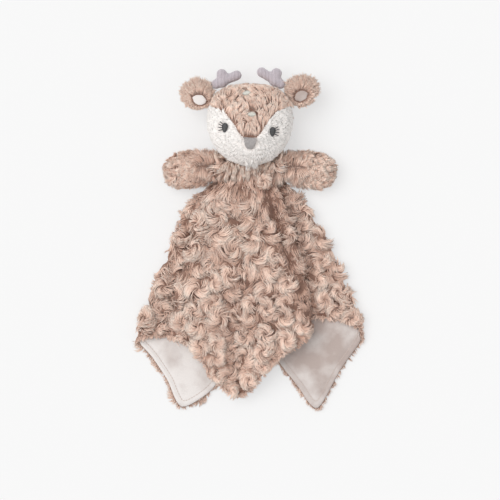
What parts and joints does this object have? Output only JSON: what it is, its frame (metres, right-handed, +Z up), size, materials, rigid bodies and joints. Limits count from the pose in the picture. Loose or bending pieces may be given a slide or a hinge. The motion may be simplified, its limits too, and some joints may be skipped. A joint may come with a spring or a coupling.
{
  "type": "comfort blanket",
  "caption": "Fawn comfort blanket lying on its back: stuffed head with ears and antlers and two stuffed arms, sewn to the gathered middle of a lined plush square.",
  "frame": {"origin": "on the floor, under the middle of the toy's outline as it lies on its back", "axes": "+Z up out of the toy's front, +Y towards the head's crown, +X towards the right of the picture (the toy's own left arm)"},
  "size_m": [0.2503, 0.3705, 0.0706],
  "materials": {
    "fawn_plush": "matte",
    "cream_plush": "matte",
    "lining_velour": "matte",
    "antler_velour": "matte",
    "grey_thread": "satin",
    "dark_thread": "satin",
    "spot_thread": "matte",
    "fibre_fill": "matte"
  },
  "bodies": {
    "blanket": {"blanket_outer": "fawn_plush", "blanket_lining": "lining_velour", "neck_gather": "fawn_plush"},
    "head": {"head_stuffing": "fibre_fill", "forehead_panel": "fawn_plush", "cheek_left": "cream_plush", "cheek_right": "cream_plush", "head_back_left": "fawn_plush", "head_back_right": "fawn_plush", "nose_embroidery": "grey_thread", "eye_left": "dark_thread", "eye_right": "dark_thread", "forehead_spot_upper": "spot_thread", "forehead_spot_lower": "spot_thread"},
    "arm_left": {"arm_left_front": "fawn_plush", "arm_left_back": "fawn_plush", "arm_left_stuffing": "fibre_fill"},
    "ear_left": {"ear_left_outer": "fawn_plush", "ear_left_lining": "lining_velour"},
    "antler_left": {"antler_left_front": "antler_velour", "antler_left_back": "antler_velour", "antler_left_stuffing": "fibre_fill"},
    "arm_right": {"arm_right_front": "fawn_plush", "arm_right_back": "fawn_plush", "arm_right_stuffing": "fibre_fill"},
    "ear_right": {"ear_right_outer": "fawn_plush", "ear_right_lining": "lining_velour"},
    "antler_right": {"antler_right_front": "antler_velour", "antler_right_back": "antler_velour", "antler_right_stuffing": "fibre_fill"}
  },
  "joints": [
    {"name": "head_nod", "type": "hinge", "parent": "blanket", "child": "head", "pos_m": [0, 0.078, 0.0164], "axis": [1, 0, 0], "range_deg": [-10, 32]},
    {"name": "arm_left_lift", "type": "hinge", "parent": "blanket", "child": "arm_left", "pos_m": [-0.0428, 0.078, 0.0164], "axis": [-0.1392, 0.9903, 0], "range_deg": [-20, 45]},
    {"name": "arm_right_lift", "type": "hinge", "parent": "blanket", "child": "arm_right", "pos_m": [0.0428, 0.078, 0.0164], "axis": [-0.1392, -0.9903, 0], "range_deg": [-20, 45]},
    {"name": "ear_left_fold", "type": "hinge", "parent": "head", "child": "ear_left", "pos_m": [-0.04594, 0.15014, 0.0295], "axis": [0.2924, 0.9563, 0], "range_deg": [-20, 30], "stiffness_Nm_per_rad": 0.01},
    {"name": "ear_right_fold", "type": "hinge", "parent": "head", "child": "ear_right", "pos_m": [0.04478, 0.15209, 0.0295], "axis": [0.4384, -0.8988, 0], "range_deg": [-20, 30], "stiffness_Nm_per_rad": 0.01},
    {"name": "antler_left_bend", "type": "hinge", "parent": "head", "child": "antler_left", "pos_m": [-0.03008, 0.16943, 0.0295], "axis": [1, 0, 0], "range_deg": [-20, 25], "stiffness_Nm_per_rad": 0.01},
    {"name": "antler_right_bend", "type": "hinge", "parent": "head", "child": "antler_right", "pos_m": [0.02697, 0.17056, 0.0295], "axis": [0.9877, -0.1564, 0], "range_deg": [-20, 25], "stiffness_Nm_per_rad": 0.01}
  ]
}
